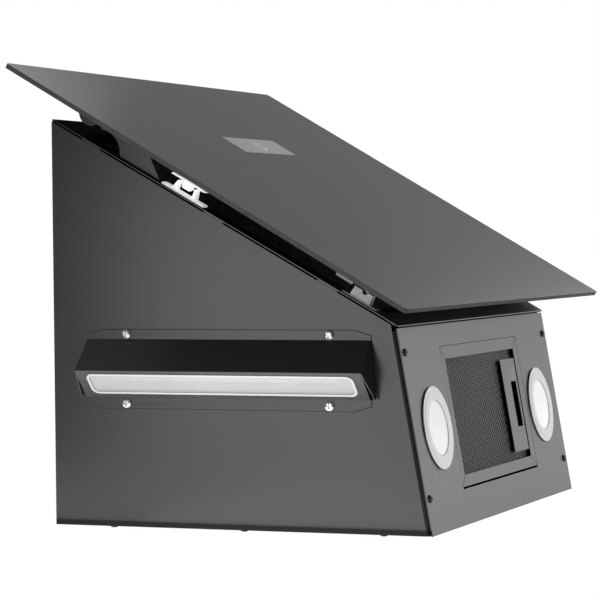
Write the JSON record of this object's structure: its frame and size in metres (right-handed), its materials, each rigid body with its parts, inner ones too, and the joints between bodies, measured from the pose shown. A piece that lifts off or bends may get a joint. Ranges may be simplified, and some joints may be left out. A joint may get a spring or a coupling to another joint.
{
  "type": "wall-mounted cooker hood",
  "caption": "Inclined wall-mounted cooker hood lying on its back, with a hinged black glass front, mesh grease filter, round lamps, side light bars and a flapped duct collar.",
  "frame": {"origin": "centre of the casing's wall face, in the middle of its length, its width and the four wall holes", "axes": "the hood lies on its back as pictured: +Z away from the wall face, towards the glass; +X to the underside, which is down once the hood hangs; -X to the duct end; Y along the width, left being -Y"},
  "size_m": [0.4012, 0.595, 0.4039],
  "materials": {
    "black_paint": "satin powder coat",
    "black_glass": "polished, printed black behind",
    "strip_glass": "gloss",
    "galvanised": "plain",
    "zinc": "zinc plated",
    "filter_metal": "anodised, expanded mesh",
    "latch_plastic": "fine grain",
    "black_plastic": "fine grain",
    "white_plastic": "fine grain",
    "lamp_metal": "satin",
    "lens": "frosted",
    "led": "satin",
    "motor_metal": "satin"
  },
  "bodies": {
    "casing": {"side_panel_left": "black_paint", "side_panel_right": "black_paint", "top_panel": "black_paint", "back_panel": "black_paint", "underside_panel": "black_paint", "front_plate": "black_paint", "filter_tray": "black_paint", "front_filter_frame": "filter_metal", "front_filter_mesh": "filter_metal", "front_filter_grip": "filter_metal", "hinge_arm_left": "black_paint", "hinge_arm_right": "black_paint", "hinge_pins": "zinc", "catch_bodies": "white_plastic", "saddle_blocks": "galvanised", "lamp_body_left": "lamp_metal", "lamp_body_right": "lamp_metal", "lamp_lens_left": "lens", "lamp_lens_right": "lens", "lamp_clips": "zinc", "rubber_rings": "black_plastic", "light_bar_cover_left": "black_paint", "light_bar_cover_right": "black_paint", "light_bar_frame_left": "white_plastic", "light_bar_frame_right": "white_plastic", "light_bar_leds_left": "led", "light_bar_leds_right": "led", "light_bar_lens_left": "lens", "light_bar_lens_right": "lens", "light_bar_screws_left": "zinc", "light_bar_screws_right": "zinc", "duct_collar": "black_plastic", "collar_screws": "zinc", "damper_pin": "zinc", "scroll_band": "galvanised", "scroll_cheek_left": "galvanised", "scroll_cheek_right": "galvanised", "motor": "motor_metal", "motor_bracket": "galvanised", "driver_box": "white_plastic", "cable_gland": "black_plastic", "underside_screws": "black_paint", "wall_side_screws": "black_paint"},
    "glass_front": {"glass_panel": "black_glass", "glass_carrier": "black_paint", "touch_strip": "strip_glass", "control_box": "black_plastic", "catch_keepers": "white_plastic", "saddle_pegs": "zinc"},
    "fan_wheel": {"impeller": "black_plastic", "motor_shaft": "zinc"},
    "front_flap": {"damper_flap_front": "black_plastic"},
    "back_flap": {"damper_flap_back": "black_plastic"},
    "grease_filter": {"grease_filter_frame": "black_paint", "grease_filter_mesh": "filter_metal"},
    "latch": {"filter_latch": "latch_plastic"}
  },
  "joints": [
    {"name": "glass_open", "type": "hinge", "parent": "casing", "child": "glass_front", "pos_m": [-0.13745, 0, 0.36248], "axis": [0, -1, 0], "range_deg": [0, 45]},
    {"name": "fan_spin", "type": "hinge", "parent": "casing", "child": "fan_wheel", "pos_m": [-0.005, 0, 0.115], "axis": [0, 1, 0], "continuous": true},
    {"name": "front_flap_open", "type": "hinge", "parent": "casing", "child": "front_flap", "pos_m": [-0.199, 0, 0.148], "axis": [0, -1, 0], "range_deg": [0, 80]},
    {"name": "back_flap_open", "type": "hinge", "parent": "casing", "child": "back_flap", "pos_m": [-0.199, 0, 0.148], "axis": [0, 1, 0], "range_deg": [0, 80]},
    {"name": "filter_tilt", "type": "hinge", "parent": "casing", "child": "grease_filter", "pos_m": [0.15907, -0.1149, 0.09239], "axis": [0.1699, 0, -0.9855], "range_deg": [0, 40]},
    {"name": "filter_latch", "type": "slide", "parent": "grease_filter", "child": "latch", "axis": [0, -1, 0], "range_m": [0, 0.008], "stiffness_N_per_m": 120}
  ],
  "couplings": [
    {"joint": "back_flap_open", "follows": "front_flap_open", "ratio": 1}
  ]
}
